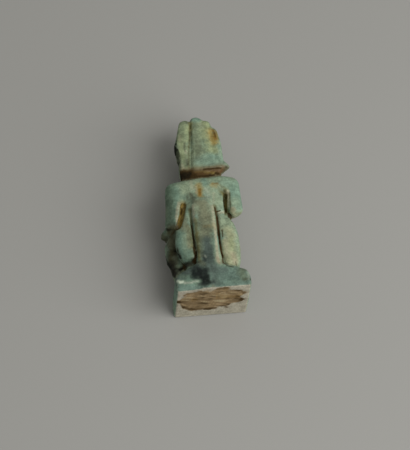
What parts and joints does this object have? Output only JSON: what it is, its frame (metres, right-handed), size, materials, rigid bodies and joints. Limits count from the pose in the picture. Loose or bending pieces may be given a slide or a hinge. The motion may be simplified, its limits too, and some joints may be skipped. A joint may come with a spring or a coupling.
{
  "type": "earthenware amulet",
  "caption": "Small glazed earthenware amulet: a squatting dwarf figure with a plumed crown, a back pillar and a flat rectangular plinth.",
  "frame": {"origin": "centre of the bounding box in X and Y, at the floor that the amulet lies on, which is under its plinth's front edge, nose and beard", "axes": "+X to the right as seen from behind with the crown up, +Y along the figure from the plinth to the crown, +Z out of the figure's back"},
  "size_m": [0.022, 0.0562, 0.0144],
  "materials": {
    "amulet": "worn, dull green glaze with brown stains and pale chips"
  },
  "bodies": {
    "root": {"amulet": "amulet"}
  },
  "joints": []
}
